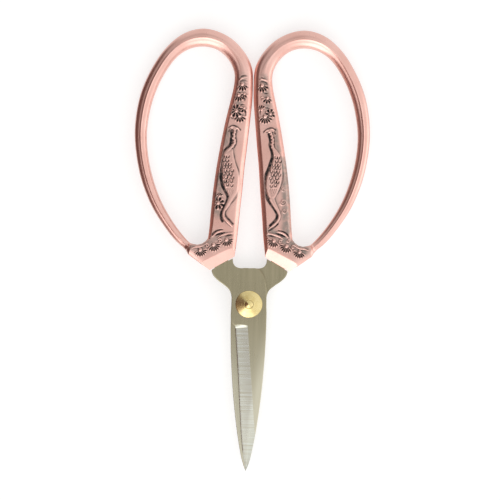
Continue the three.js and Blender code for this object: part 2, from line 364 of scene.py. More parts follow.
# A handle's two faces have birds a little different: True is the one that looks up on the
# left handle. Neck, body and tail are raised; the strokes after them are black lines.
BIRDS = {
    True: {
        "head": (6.2, 61.3),
        "neck": [(6.2, 60.9), (6.4, 59.4), (6.5, 58.0), (6.1, 56.8), (6.7, 55.6), (7.7, 54.4),
                 (8.5, 53.4), (8.9, 52.4)],
        "body": [(6.7, 54.2), (6.3, 51.8), (5.7, 49.3), (4.7, 46.6), (4.2, 43.8), (4.2, 41.3),
                 (4.9, 38.8), (6.1, 36.8), (7.0, 35.9), (7.6, 36.9), (8.3, 38.6), (9.5, 41.0),
                 (10.1, 43.5), (10.3, 46.5), (10.3, 49.5), (9.9, 51.6), (9.0, 53.2)],
        "tail": [(7.1, 37.0), (7.9, 35.2), (8.9, 33.4), (9.6, 31.8), (9.5, 30.5), (8.7, 29.4),
                 (7.6, 28.3), (6.4, 27.1)],
        # dark: patina in a shallow groove along the bird's side away from the light, widened there as
        # painted shade
        "dark": [(7.5, 61.0), (7.2, 59.4), (7.4, 57.6), (7.5, 56.2), (8.2, 55.0), (9.2, 54.0),
                 (10.3, 52.7), (10.8, 51.0), (10.9, 48.5), (10.9, 46.0), (10.6, 43.4),
                 (10.1, 41.2), (9.0, 39.2), (8.2, 37.4), (8.5, 35.6), (9.5, 33.7), (10.25, 31.8),
                 (10.3, 30.0), (9.9, 28.9)],
        "under": [(8.8, 32.6), (8.8, 31.2), (8.0, 30.0), (7.0, 29.0), (6.1, 28.0)],
        "nape": [(5.55, 60.3), (5.75, 58.8), (5.5, 57.3), (5.7, 55.8), (6.3, 54.7)],
        "wing": [(6.6, 53.8), (6.0, 51.3), (5.3, 48.8), (4.3, 46.2), (3.75, 43.6), (3.8, 41.0),
                 (4.5, 38.5), (5.8, 36.5), (7.2, 34.9)],
    },
    False: {
        "head": (6.0, 60.7),
        "neck": [(6.5, 60.3), (6.8, 59.0), (7.1, 57.8), (7.1, 56.6), (7.0, 55.6), (7.5, 54.5),
                 (8.1, 53.4), (8.6, 52.2)],
        "body": [(7.4, 53.4), (7.5, 51.6), (7.0, 49.8), (6.5, 47.9), (5.5, 45.6), (5.0, 43.2),
                 (5.0, 40.8), (5.6, 38.6), (6.5, 36.9), (7.2, 36.0), (8.0, 36.8), (8.9, 38.4),
                 (10.0, 41.0), (10.6, 44.3), (10.7, 47.3), (10.3, 50.0), (9.6, 51.8), (8.7, 53.2)],
        "tail": [(7.2, 37.0), (8.1, 35.2), (9.1, 33.5), (9.9, 31.8), (9.9, 30.4), (9.2, 29.0),
                 (8.0, 27.8), (6.5, 26.6)],
        # dark: patina in a shallow groove along the bird's side away from the light, widened there as
        # painted shade
        "dark": [(5.8, 59.5), (6.2, 58.2), (6.4, 57.0), (6.2, 55.8), (6.6, 54.5), (7.0, 53.2),
                 (7.1, 51.6), (6.6, 49.9), (6.2, 48.4), (5.6, 46.8), (4.8, 44.9), (4.4, 42.9),
                 (4.4, 40.6), (5.0, 38.4), (6.0, 36.5), (7.3, 34.7), (8.5, 33.1), (9.2, 31.6),
                 (9.1, 30.2), (8.1, 28.9), (6.9, 27.7)],
        "under": [(9.6, 28.3), (8.6, 27.3), (7.4, 26.4), (6.4, 25.8)],
        "nape": [(7.3, 59.4), (7.7, 57.9), (7.7, 56.4), (7.9, 55.2)],
        "wing": [(10.2, 52.0), (11.0, 49.6), (11.2, 46.8), (11.0, 44.0), (10.3, 41.3), (9.3, 38.8)],
    },
}


def draw_bird(relief, turned):
    """A standing long-necked bird, head up, with black patina in a groove along one side, laid wide
    there as painted shade on the side away from the light.
    """
    bird = BIRDS[turned]
    neck_widths = [0.36, 0.34, 0.36, 0.38, 0.42, 0.55, 0.85, 1.2]
    tail_widths = [1.0, 0.8, 0.62, 0.5, 0.46, 0.46, 0.42, 0.15]
    relief.moat(bird["neck"][:6], neck_widths[:6])
    relief.moat(bird["tail"], tail_widths)
    # painted shade: the wide black line along the bird's side away from the light, over the shallow
    # groove cut below
    relief.mark(relief.ink, bird["dark"], 0.66, 1.0, 2.4)
    relief.mark(relief.ink, bird["nape"], 0.36, 0.8, 2.0)
    relief.mark(relief.ink, bird["under"], 0.4, 0.9, 2.0)
    relief.mark(relief.ink, bird["wing"], 0.3, 0.6, 1.6)
    relief.cut(bird["dark"], 0.5, 0.12)
    relief.ridge(bird["neck"], neck_widths, 0.3)
    for k, (x, y) in enumerate(catmull_rom(bird["neck"][:6], 2)[1:-1]):
        relief.dome(x + (0.3 if k % 2 else -0.3), y, 0.38, 0.28)
    draw_head(relief, *bird["head"])
    relief.body(bird["body"], 0.3, 0.9)
    draw_feathers(relief)
    relief.ridge(bird["tail"], tail_widths, 0.31)
    relief.cut(bird["wing"], [0.06] + [0.16] * (len(bird["wing"]) - 2) + [0.06], 0.1)


def draw_head(relief, x, y):
    """A small head with a curved beak, a crest and black round them."""
    relief.mark(relief.ink, [(x - 2.0, y - 0.4), (x - 1.3, y + 0.3), (x - 0.4, y + 0.9),
                             (x + 0.8, y + 1.1), (x + 2.0, y + 0.5)], 0.42, 0.85, 1.8)
    relief.mark(relief.ink, [(x + 0.7, y - 0.3), (x + 1.5, y - 0.3), (x + 2.0, y - 0.9)],
                0.4, 0.9, 1.8)
    relief.dome(x, y, 0.72, 0.32)
    relief.ridge([(x - 0.3, y + 0.3), (x - 1.1, y + 0.1), (x - 1.7, y - 0.5)], [0.4, 0.3, 0.1], 0.29)
    relief.ridge([(x + 0.1, y + 0.5), (x + 0.9, y + 0.7), (x + 1.8, y + 0.2)], [0.3, 0.28, 0.1], 0.29)
    relief.ridge([(x + 0.3, y), (x + 1.1, y + 0.1), (x + 1.7, y - 0.5)], [0.28, 0.24, 0.1], 0.28)
    relief.groove([(x - 0.15, y + 0.1), (x - 0.14, y + 0.11)], [0.2, 0.2])


def draw_feathers(relief):
    """Uneven scale feathers on the shoulder and long feathers below them."""
    random = np.random.default_rng(5)
    for row in range(9):
        low = 8.1 - 0.36 * row if row < 6 else 6.3 + 0.12 * (row - 6)
        high = 10.0 - 0.035 * max(row - 3, 0) ** 2
        count = 2 if high - low < 2.6 else 3
        for k in range(count):
            x = low + (high - low) * (k + 0.3 + 0.45 * (row % 2)) / count
            x, y = (x, 51.4 - 1.22 * row) + random.uniform(-0.17, 0.17, 2)
            wide = random.uniform(0.42, 0.56)
            arc = [(x - wide, y + 0.36), (x - 0.7 * wide, y - 0.2), (x, y - 0.45),
                   (x + 0.7 * wide, y - 0.2), (x + wide, y + 0.36)]
            relief.groove(arc, random.uniform(0.7, 1.2) * np.array([0.2, 0.28, 0.32, 0.25, 0.15]),
                          0.22, random.uniform(0.75, 1.0))
    for k in range(4):
        x = 6.4 + 0.68 * k
        relief.cut([(x + 0.2, 40.6), (x + 0.05, 39.6), (7.2 + 0.27 * (k - 1), 38.1)],
                   [0.18, 0.14, 0.06], 0.12)


def draw_upper_flowers(relief, turned):
    """The scroll, fans and rosette between the bird's head and the bow."""
    if turned:
        relief.groove([(5.9, 78.2), (4.7, 79.4), (3.4, 79.95), (2.0, 80.0)],
                      [0.1, 0.26, 0.3, 0.1], 0.12, 0.8)
        relief.ridge([(5.8, 77.5), (4.7, 78.6), (3.4, 79.2), (1.9, 79.3)], [0.1, 0.3, 0.34, 0.1], 0.27)
        relief.groove([(5.3, 77.5), (4.1, 78.15), (2.8, 78.25), (1.8, 77.8)],
                      [0.1, 0.2, 0.22, 0.1], 0.12, 0.7)
        relief.fan(3.8, 77.0, 2.35, -92)
        relief.fan(5.0, 73.2, 2.2, -84)
        relief.groove([(6.1, 74.3), (4.7, 74.0), (3.7, 72.9)], [0.1, 0.24, 0.12], 0.12, 0.8)
        relief.fan(4.5, 66.0, 2.35, -92)
        relief.rosette(5.8, 67.6, 2.2)
        relief.fan(3.0, 68.6, 1.5, -60, petals=4)
        relief.fan(3.0, 73.6, 1.3, -70, petals=4)
        for line in ([(6.6, 76.6), (6.1, 75.9), (5.9, 75.0)], [(2.4, 76.5), (1.9, 75.8), (1.8, 75.0)],
                     [(3.4, 72.6), (2.9, 71.9), (2.9, 71.1)], [(2.9, 67.4), (2.5, 66.7), (2.6, 65.9)],
                     [(4.4, 69.7), (3.6, 69.9), (2.8, 69.7)], [(7.9, 65.6), (7.2, 65.0), (6.6, 64.9)]):
            relief.groove(line, [0.1, 0.25, 0.1], 0.16, 0.85)
    else:
        relief.groove([(2.0, 80.0), (3.1, 79.3), (4.1, 78.7)], [0.1, 0.24, 0.1], 0.12, 0.7)
        relief.groove([(1.6, 77.3), (3.2, 78.0), (4.7, 77.4), (5.8, 75.9)],
                      [0.1, 0.24, 0.26, 0.1], 0.12, 0.8)
        relief.ridge([(1.9, 78.6), (3.4, 78.7), (4.9, 78.1), (6.0, 76.8)], [0.1, 0.28, 0.3, 0.1], 0.27)
        relief.fan(3.1, 76.7, 2.35, -80)
        relief.fan(5.1, 72.3, 1.9, -85, petals=5)
        relief.volute(3.3, 71.9, 0.7, 1.0, 120, hand=-1)
        relief.fan(3.1, 68.2, 1.5, 110, petals=5)
        relief.rosette(6.2, 66.7, 1.6, petals=7)
        relief.fan(4.4, 65.9, 2.6, -84, petals=7)
        for line in ([(1.3, 77.6), (1.1, 76.7), (1.4, 75.8)], [(4.9, 76.6), (5.4, 75.8), (5.5, 75.0)],
                     [(6.5, 72.3), (6.9, 71.5), (6.8, 70.7)], [(2.7, 67.9), (2.5, 67.1), (2.7, 66.4)],
                     [(4.1, 68.9), (5.1, 68.8), (6.0, 68.4)], [(3.4, 74.2), (4.5, 73.9), (5.4, 74.1)]):
            relief.groove(line, [0.1, 0.25, 0.1], 0.16, 0.85)


def draw_side_flowers(relief, turned):
    """A flower, or faint curling lines on the other face, beside the bird's tail."""
    if turned:
        relief.rosette(11.5, 35.2, 2.0, petals=8)
        relief.fan(11.0, 37.6, 1.2, 90, petals=5)
    else:
        relief.volute(11.3, 36.0, 1.3, 1.5, 200, height=0.14)
        relief.volute(11.7, 32.9, 1.0, 1.2, 20, height=0.14, hand=-1)
        relief.volute(11.4, 40.2, 0.8, 1.1, 90, height=0.12)


def draw_collar_flowers(relief, turned):
    """The band of fans along the collar, with leaves and curling lines above it."""
    relief.groove([(14.0, 23.2), (13.0, 24.6), (11.4, 25.6), (9.6, 26.1)], [0.1, 0.34, 0.34, 0.1])
    relief.ridge([(13.2, 23.5), (12.0, 24.7), (10.6, 25.3), (9.2, 25.5)], [0.1, 0.36, 0.34, 0.1], 0.3)
    relief.groove([(12.2, 23.7), (11.2, 24.3), (10.2, 24.5), (8.8, 25.0)], [0.12, 0.4, 0.36, 0.1])
    relief.ridge([(11.6, 22.9), (10.0, 23.9), (8.2, 24.5), (5.9, 25.0)], [0.1, 0.3, 0.3, 0.1], 0.3)
    relief.groove([(8.8, 23.6), (7.5, 24.0), (6.0, 24.2)], [0.1, 0.3, 0.12])
    facing = -118
    relief.fan(8.3, 22.4, 2.25, facing - 2, petals=8, spread=78)
    relief.fan(12.8, 20.6, 2.3, facing, petals=8, spread=78)
    relief.fan(17.4, 18.7, 2.25, facing + 8, petals=8, spread=78)
    relief.groove([(19.2, 20.2), (17.6, 20.3), (16.0, 21.0), (14.6, 22.0)], [0.1, 0.24, 0.26, 0.1])
    relief.ridge([(20.4, 19.2), (18.9, 19.7), (17.2, 19.9), (15.4, 20.9)], [0.1, 0.3, 0.28, 0.1], 0.28)
    relief.volute(15.1, 20.3, 0.75, 1.2, 30)
    relief.volute(10.6, 22.1, 0.7, 1.1, 40)
    if not turned:
        relief.volute(13.4, 22.6, 0.7, 1.1, 200)


def draw_stains(relief, turned):
    """Grey wash left in the plain ground, most of it beside the loop."""
    relief.mark(relief.wash, [(3.6, 79.2), (4.0, 77.0), (4.6, 73.0), (5.0, 70.0), (5.0, 66.0)],
                2.5, 0.9)
    if turned:
        relief.mark(relief.wash, [(8.6, 60.5), (8.8, 58.0), (9.2, 55.5)], 1.7, 0.9)
        relief.mark(relief.wash, [(11.4, 45.0), (11.3, 41.0), (10.4, 38.0)], 1.6, 1.0)
        relief.mark(relief.wash, [(12.4, 38.0), (12.2, 34.5), (11.6, 31.0)], 2.2, 1.0)
        relief.mark(relief.wash, [(8.0, 24.0), (12.5, 22.5), (17.0, 20.2), (20.0, 19.6)], 2.2, 0.75)
    else:
        relief.mark(relief.wash, [(8.2, 61.0), (8.4, 57.5), (9.4, 54.0)], 1.5, 0.9)
        relief.mark(relief.wash, [(10.8, 50.0), (12.0, 44.0), (12.4, 38.0), (12.4, 32.0),
                                  (12.6, 26.0)], 2.9, 1.3)
        relief.mark(relief.wash, [(7.0, 25.5), (11.0, 23.5), (15.0, 21.0), (19.5, 19.0)], 2.9, 1.2)


RELIEF_SOFTNESS = 0.05  # rounding of the relief by casting and plating
PATINA_REACH = 0.35  # hollows are judged against heights this far round them
PATINA_DEPTH_GAIN = 7
PATINA_MOST = 0.95
LOW_HEIGHT = 0.14  # ground lower than this takes patina beside the relief
HIGH_HEIGHT = 0.26  # relief higher than this is rubbed bright
HALO_REACH = 0.8  # the wash lies this far round the relief
COVER_REACH = 0.34  # and the patina this far


def ornament(turned):
    """Relief height, patina and grey wash for one face of a handle."""
    relief = Relief()
    draw_bird(relief, turned)
    draw_upper_flowers(relief, turned)
    draw_side_flowers(relief, turned)
    draw_collar_flowers(relief, turned)
    draw_stains(relief, turned)
    relief.height = blurred(relief.height, RELIEF_SOFTNESS)
    hollow = blurred(relief.height, PATINA_REACH) - relief.height
    cover = blurred((relief.height > 0.06).astype(float), COVER_REACH)
    low_ground = 1 - np.clip(relief.height / LOW_HEIGHT, 0, 1)
    relief.patina = np.clip(PATINA_DEPTH_GAIN * hollow - 0.15 + 0.8 * cover * low_ground,
                            0, PATINA_MOST)
    raised = np.clip(relief.height / HIGH_HEIGHT, 0, 1)
    relief.patina = np.maximum(relief.patina, relief.ink * (1 - raised ** 2))
    around = blurred((relief.height > 0.05).astype(float), HALO_REACH)
    shade = np.maximum(relief.wash, np.clip(1.7 * around - 0.1, 0, 1))
    relief.wash = np.clip(shade, 0, 1) * (1 - 0.8 * raised)
    return relief


# ----------------------------------------
# Meshes
# ----------------------------------------


def make_mesh(name, points, faces, turned, **values):
    """A smooth-shaded mesh object from points in millimetres. A turned one is the same
    shape turned over about the Y direction."""
    points = np.array(points, float)
    if turned:
        points = points * (-1, 1, -1) + (0, 0, 2 * MID)
    mesh = bpy.data.meshes.new(name)
    mesh.from_pydata((points * MM).tolist(), [], [tuple(f) for f in faces])
    for key, numbers in values.items():
        layer = mesh.attributes.new(key, "FLOAT", "POINT")
        layer.data.foreach_set("value", np.asarray(numbers, np.float32))
    mesh.shade_smooth()
    piece = bpy.data.objects.new(name, mesh)
    bpy.context.scene.collection.objects.link(piece)
    return piece


def ring_faces(count, around):
    """Quads between closed sections that follow each other in a closed ring."""
    i = np.arange(count)[:, None]
    j = np.arange(around)[None, :]
    after, beside = (i + 1) % count, (j + 1) % around
    quads = np.stack(np.broadcast_arrays(
        i * around + j, i * around + beside, after * around + beside, after * around + j), -1)
    return quads.reshape(-1, 4)


def corner_curve(roundness):
    """How far in and how far down each point of an edge lies, as shares of its size, from
    the upright side to the face: a chamfer with softened ends, a round, or in between."""
    t = np.linspace(0, math.pi / 2, len(CHAMFER_SHARES))
    rounded = np.stack((1 - np.cos(t), 1 - np.sin(t)), -1)
    straight = np.stack((np.maximum(CHAMFER_SHARES, 0), np.maximum(1 - CHAMFER_SHARES, 0)), -1)
    return roundness * rounded + (1 - roundness) * straight


def face_row(section, columns):
    """Places across one section from rim to loop, their plain heights above the middle
    plane, and how far each lies inside the flat of the face."""
    loop, rim = np.array(section[:2]), np.array(section[2:4])
    half, edge, roundness = section[4:]
    width = np.linalg.norm(rim - loop)
    across, up = min(edge, EDGE_WIDTH_SHARE * width), min(edge, EDGE_HEIGHT_SHARE * half)
    wide = min(across * (1 + (RIM_CHAMFER - 1) * (1 - roundness)), 0.5 * width)
    corner = corner_curve(roundness)
    loop_edge, rim_edge = corner[:, 0] * across, corner[:, 0] * wide
    drop = half - FACE_CROWN - corner[:, 1] * up
    share = np.linspace(0, 1, columns + 2)[1:-1]
    flat = rim_edge[-1] + (width - rim_edge[-1] - loop_edge[-1]) * share
    reach = np.concatenate((rim_edge, flat, width - loop_edge[::-1]))
    height = np.concatenate((drop, half - FACE_CROWN * (2 * share - 1) ** 2, drop[::-1]))
    inset = np.minimum(reach - wide, width - reach - across)
    return rim + (loop - rim) * (reach / width)[:, None], height, inset


def handle_points(sections, turned):
    """Points of every section with the relief put on both faces, how many there are in a
    section, and their patina and wash. The face that looks up when the snips lie down has
    the closer columns."""
    columns = {1: UNDER_COLUMNS if turned else UPPER_COLUMNS,
               -1: UPPER_COLUMNS if turned else UNDER_COLUMNS}
    reliefs = {1: ornament(False), -1: ornament(True)}
    points, patina, wash = [], [], []
    for section in sections:
        for side in (1, -1):
            place, height, inset = (part[::side] for part in face_row(section, columns[side]))
            relief = reliefs[side]
            mask = np.clip(inset / RELIEF_FADE, 0, 1) ** RELIEF_FADE_POWER
            height = height + mask * relief.sample(relief.height, *place.T)
            points.append(np.column_stack((place, MID + side * chamfered(place, height))))
            patina.append(mask * relief.sample(relief.patina, *place.T))
            wash.append(relief.sample(relief.wash, *place.T))
    around = UPPER_COLUMNS + UNDER_COLUMNS + 4 * len(CHAMFER_SHARES)
    return np.vstack(points), around, np.concatenate(patina), np.concatenate(wash)


def chamfered(place, z):
    """Heights cut down by the collar's end chamfer."""
    start, end = np.array(CHAMFER_LINE)
    line = (end - start) / np.linalg.norm(end - start)
    beyond = (place - start) @ np.array([line[1], -line[0]])
    limit = FACE - CHAMFER_SLOPE * np.clip(beyond, 0, None)
    near = (place[:, 1] < CHAMFER_TOP_Y) & (beyond > 0)
    return np.where(near, np.minimum(z, limit), z)


def build_handle(name, turned):
    """The cast handle: up the shank, round the bow and back through the collar."""
    sections = handle_sections()
    points, around, patina, wash = handle_points(sections, turned)
    faces = ring_faces(len(sections), around)
    return make_mesh(name, points, faces, turned, patina=patina, wash=wash)


# ----------------------------------------
# Blade: sections from the back to the cutting edge, from the tip to the tang
# left x, left y, right x, right y
# ----------------------------------------

BLADE_TIP_ROWS = [
    (-0.05, -58.5, 0.05, -58.5),
    (-0.42, -57.6, 0.22, -57.6),
    (-0.95, -56.2, 0.42, -56.2),
    (-1.95, -52.4, 1.1, -52.4),
    (-3.1, -46.1, 1.8, -46.1),
    (-4.0, -39.8, 2.3, -39.8),
    (-4.75, -33.6, 2.75, -33.6),
    (-5.45, -26.0, 3.25, -26.0),
    (-6.0, -16.8, 3.95, -16.8),
    (-6.25, -8.8, 4.6, -8.8),
]
BLADE_BODY_ROWS = [
    (-6.25, -7.4, 4.72, -7.7),
    (-6.24, -5.2, 6.2, -5.6),
    (-6.15, 0.0, 6.15, 0.0),
    (-6.1, 3.9, 6.2, 2.8),
    (-5.8, 6.9, 7.0, 4.9),
    (-5.0, 9.8, 8.9, 6.6),
    (-3.9, 11.7, 10.5, 7.7),
    (-2.4, 12.6, 11.6, 8.6),
    (0.5, 12.62, 12.6, 9.7),
    (3.4, 12.6, 13.1, 10.7),
    (5.0, 13.2, 13.3, 11.4),
    (5.8, 14.4, 13.2, 11.7),
    (6.0, 15.9, 13.1, 11.95),
]
TANG_ROWS = [
    (7.5, 15.1, 12.3, 12.4),
    (7.7, 26.5, 10.9, 26.5),
]
BLADE_COLUMNS = 28  # on each side of the grind's inner line
LINE_SHARES = (0.08, 0.8)  # the least and most of the width that lies behind that line
EDGE_SOFTNESS = 0.12
SIDE_SHARE = 0.3  # the in-between point of a softened edge

BEVEL_START = (0.2, -7.9)  # the upper end of the grind's inner line
BEVEL_TURN = 0.085  # sideways run of that line per millimetre towards the tip
BEVEL_WIDTH = 4.75
BEVEL_DEPTH = 0.95
BEVEL_HOLLOW = 1.15  # 1 is flat; more is hollow ground
KEEN_WIDTH = 0.6  # the steeper grind along the cutting edge
KEEN_DROP = 0.035
RUN_OUT = 1.1  # length over which the grinding wheel left the blade
RUN_OUT_RISE = 0.6  # how far that begins above the inner line's end
RUN_OUT_BOW = 0.2
GRIND_START = 0.008  # the bevel's finish is full at this depth
SPINE_WIDTH = 3.6  # the strip along the back that is slightly rounded
SPINE_DROP = 0.5
SPINE_RUN = (-10, 18)  # where the rounding begins, and the length it grows over
INNER_SPINE = (1.1, 0.07)  # its width and drop on the inner side
TIP_TAPER = 0.8  # how much thinner the blade is ground towards its tip
TAPER_RUN = (-22, 36)
LIGHTER_RUN = (-2, 42)  # the steel's colour is lighter over this run
THINNEST_BLADE = 0.2


def blade_sections():
    """All sections of a blade, with the tang's straight ones last."""
    tip = catmull_rom(BLADE_TIP_ROWS, 12)
    body = catmull_rom(BLADE_BODY_ROWS, 14)
    tang = np.array(TANG_ROWS)
    fine = resample(np.vstack((tip[-1:], body[:1])), np.linspace(0, 1, 16), [0, 1])
    return np.vstack((tip[:-1], fine, body[1:], tang))


def inner_line(y):
    """Where the grind's inner line lies at a height along the blade."""
    return BEVEL_START[0] - BEVEL_TURN * np.maximum(BEVEL_START[1] - y, 0)


def grind(place):
    """Depth of the ground bevel, and 1 inside it and 0 outside."""
    x, y = place[:, 0], place[:, 1]
    share = np.clip((x - inner_line(y)) / BEVEL_WIDTH, 0, 1)
    top = BEVEL_START[1] + RUN_OUT_RISE - RUN_OUT_BOW * (2 * share - 0.9) ** 2
    length = np.clip((top - y) / RUN_OUT, 0, 1)
    depth = BEVEL_DEPTH * (1 - (1 - share) ** BEVEL_HOLLOW) * np.sin(length * math.pi / 2)
    return depth, np.clip(depth / GRIND_START, 0, 1)


def towards_tip(y, start, length):
    """A share that grows from 0 to 1 along the blade."""
    return np.clip((start - y) / length, 0, 1)


def build_blade(name, turned):
    """A blade ground on its outer side, its sections closed with a face at both ends."""
    points, ground, worn = [], [], []
    sections = blade_sections()
    for left_x, left_y, right_x, right_y in sections:
        left, right = np.array([left_x, left_y]), np.array([right_x, right_y])
        width = np.linalg.norm(right - left)
        soft = min(EDGE_SOFTNESS, 0.2 * width)
        line = np.clip((inner_line(left_y) - left_x) / (right_x - left_x), *LINE_SHARES)
        share = np.concatenate((np.linspace(0, line, BLADE_COLUMNS),
                                np.linspace(line, 1, BLADE_COLUMNS + 1)[1:]))
        inset = soft + (width - 2 * soft) * share
        side = SIDE_SHARE * soft
        inset = np.concatenate(([0, side], inset, [width - side, width]))
        place = left + (right - left) * (inset / width)[:, None]
        rounding = np.zeros(len(inset))
        rounding[[0, -1]] = soft
        rounding[[1, -2]] = side
        depth, inside = grind(place)
        spine = towards_tip(left_y, *SPINE_RUN)
        back = np.clip(1 - inset / min(SPINE_WIDTH, 0.6 * width), 0, 1)
        taper = TIP_TAPER * towards_tip(left_y, *TAPER_RUN) ** 1.5
        keen = KEEN_DROP * inside * np.clip(1 - (width - inset) / KEEN_WIDTH, 0, 1)
        drop = depth + keen + rounding + spine * SPINE_DROP * back ** 2 + taper
        outer = BLADE_BOTTOM + np.minimum(drop, BLADE_THICKNESS - THINNEST_BLADE)
        inner_back = np.clip(1 - inset / INNER_SPINE[0], 0, 1)
        inner = BLADE_TOP - 0.4 * rounding - INNER_SPINE[1] * spine * inner_back ** 2
        points.append(np.column_stack((place, outer)))
        points.append(np.column_stack((place, inner))[::-1])
        ground += [inside, np.zeros(len(inset))]
        # the steel's colour is made lighter towards the tip and along the back
        lightening = towards_tip(left_y, *LIGHTER_RUN) + 0.5 * spine * back
        worn += [np.clip(lightening, 0, 1), np.clip(lightening[::-1], 0, 1)]
    around = 2 * (2 * BLADE_COLUMNS + 4)
    count = len(sections)
    faces = ring_faces(count, around)[: (count - 1) * around].tolist()
    faces.append(list(range(around)))
    faces.append(list(range(count * around - 1, (count - 1) * around - 1, -1)))
    return make_mesh(name, np.vstack(points), faces, turned, ground=np.concatenate(ground),
                     worn=np.concatenate(worn))


# ----------------------------------------
# Pivot: turned washers and the rivet
# ----------------------------------------

WASHER_RADIUS = 4.7
WASHER_GAP = 0.1
WASHER_SEAT = BLADE_BOTTOM - WASHER_GAP
CONE_FOOT = (4.6, 1.87)  # radius and height where the cone starts
CONE_SLOPE = 0.41
NIB_RADIUS = 0.55
RIVET_RADIUS = 1.45
PIVOT_HOLE = 1.55
TURNED_SEGMENTS = 96
CONE_STEPS = 40
TOOL_RINGS = 9
TOOL_RING_HEIGHT = 0.008


def turned_mesh(name, profile, turned):
    """A solid of revolution about the pivot's axis from (radius, height) pairs that close
    on themselves, or that start and end on the axis."""
    profile = np.array(profile, float)
    angle = 2 * math.pi * np.arange(TURNED_SEGMENTS) / TURNED_SEGMENTS
    around = len(profile)
    points = np.stack((
        profile[None, :, 0] * np.cos(angle)[:, None],
        profile[None, :, 0] * np.sin(angle)[:, None],
        np.broadcast_to(profile[None, :, 1], (TURNED_SEGMENTS, around)),
    ), -1).reshape(-1, 3)
    return make_mesh(name, points, ring_faces(TURNED_SEGMENTS, around)[:, ::-1], turned)


def build_washer(name, turned):
    """A cone with faint tool rings, a rounded rim and a flat seat."""
    rise = np.linspace(0, 1, CONE_STEPS)
    radius = CONE_FOOT[0] + (PIVOT_HOLE + 0.06 - CONE_FOOT[0]) * rise
    height = CONE_FOOT[1] - CONE_SLOPE * (CONE_FOOT[0] - radius)
    height += TOOL_RING_HEIGHT * np.sin(rise * 2 * math.pi * TOOL_RINGS)
    cone = list(zip(radius, height))
    rim = [(WASHER_RADIUS, WASHER_SEAT - 0.02), (WASHER_RADIUS, WASHER_SEAT - 0.06),
           (4.67, WASHER_SEAT - 0.12)]
    hole = [(PIVOT_HOLE, height[-1] + 0.06), (PIVOT_HOLE, WASHER_SEAT)]
    return turned_mesh(name, [(WASHER_RADIUS - 0.02, WASHER_SEAT)] + rim + cone + hole, turned)


def build_rivet(name):
    """The pin, peened at both ends to run on from the washer's cone, with a small nib."""
    shoulder = CONE_FOOT[1] - CONE_SLOPE * (CONE_FOOT[0] - RIVET_RADIUS)
    foot = shoulder - CONE_SLOPE * (RIVET_RADIUS - NIB_RADIUS)
    end = [(0.001, 0.0), (0.22, 0.01), (0.32, 0.06), (NIB_RADIUS - 0.06, foot - 0.05),
           (NIB_RADIUS + 0.08, foot), (RIVET_RADIUS - 0.06, shoulder), (RIVET_RADIUS, shoulder + 0.05)]
    upper = [(radius, 2 * MID - height) for radius, height in reversed(end)]
    return turned_mesh(name, end + upper, False)


# ----------------------------------------
# Materials
# ----------------------------------------


class Nodes:
    """A short way to write the nodes of a material, or of the world."""

    def __init__(self, name, world=None):
        self.material = world or bpy.data.materials.new(name)
        self.material.use_nodes = True
        self.tree = self.material.node_tree
        self.shader = self.tree.nodes["Background" if world else "Principled BSDF"]

    def add(self, kind, settings=None, **inputs):
        """A node with its settings, and inputs given by name (_ for a space)."""
        node = self.tree.nodes.new(kind)
        for key, value in (settings or {}).items():
            setattr(node, key, value)
        for key, value in inputs.items():
            self.feed(node.inputs[key.replace("_", " ")], value)
        return node

    def feed(self, socket, value):
        if isinstance(value, bpy.types.NodeSocket):
            self.tree.links.new(value, socket)
        else:
            socket.default_value = value

    def set(self, **inputs):
        for key, value in inputs.items():
            self.feed(self.shader.inputs[key.replace("_", " ")], value)

    def math(self, operation, a, b=0.0, clamp=False):
        node = self.add("ShaderNodeMath", {"operation": operation, "use_clamp": clamp})
        self.feed(node.inputs[0], a)
        self.feed(node.inputs[1], b)
        return node.outputs[0]

    def mix(self, share, a, b):
        """Colour a, turning to b as the share goes from 0 to 1."""
        node = self.add("ShaderNodeMix", {"data_type": "RGBA"})
        self.feed(node.inputs[0], share)
        self.feed(node.inputs[6], a)
        self.feed(node.inputs[7], b)
        return node.outputs[2]

    def ramp(self, value, *stops):
        """A number turned into another along straight runs between (from, to) stops."""
        node = self.add("ShaderNodeMapRange", {"clamp": True})
        (a, c), (b, d) = stops
        for socket, number in zip(node.inputs[:5], (value, a, b, c, d)):
            self.feed(socket, number)
        return node.outputs[0]

    def attribute(self, name):
        return self.add("ShaderNodeAttribute", {"attribute_name": name}).outputs["Fac"]

    def noise(self, scale, detail=3.0, stretch=(1, 1, 1), rough=0.5):
        """Noise in the object's own space, scale in features per millimetre."""
        place = self.add("ShaderNodeTexCoord").outputs["Object"]
        mapping = self.add("ShaderNodeMapping", Vector=place, Scale=stretch)
        return self.add("ShaderNodeTexNoise", Vector=mapping.outputs[0], Scale=scale / MM,
                        Detail=detail, Roughness=rough).outputs["Fac"]

    def bump(self, height, distance, strength=1.0):
        """Fine surface texture, distance in millimetres."""
        node = self.add("ShaderNodeBump", Height=height, Distance=distance * MM, Strength=strength)
        self.feed(self.shader.inputs["Normal"], node.outputs[0])


COPPER_BRIGHT = (0.95, 0.60, 0.53, 1)
COPPER_DEEP = (0.87, 0.51, 0.44, 1)
COPPER_GREY = (0.40, 0.32, 0.285, 1)
PATINA = (0.018, 0.016, 0.017, 1)
STEEL = (0.45, 0.40, 0.27, 1)
STEEL_LIGHTER = (0.66, 0.63, 0.50, 1)
STEEL_DARK = (0.375, 0.335, 0.22, 1)
STEEL_GROUND = (0.69, 0.715, 0.66, 1)
BRASS_LIGHT = (0.88, 0.73, 0.36, 1)
BRASS_DEEP = (0.74, 0.57, 0.23, 1)
BRASS_RINGS_PER_MM = 5


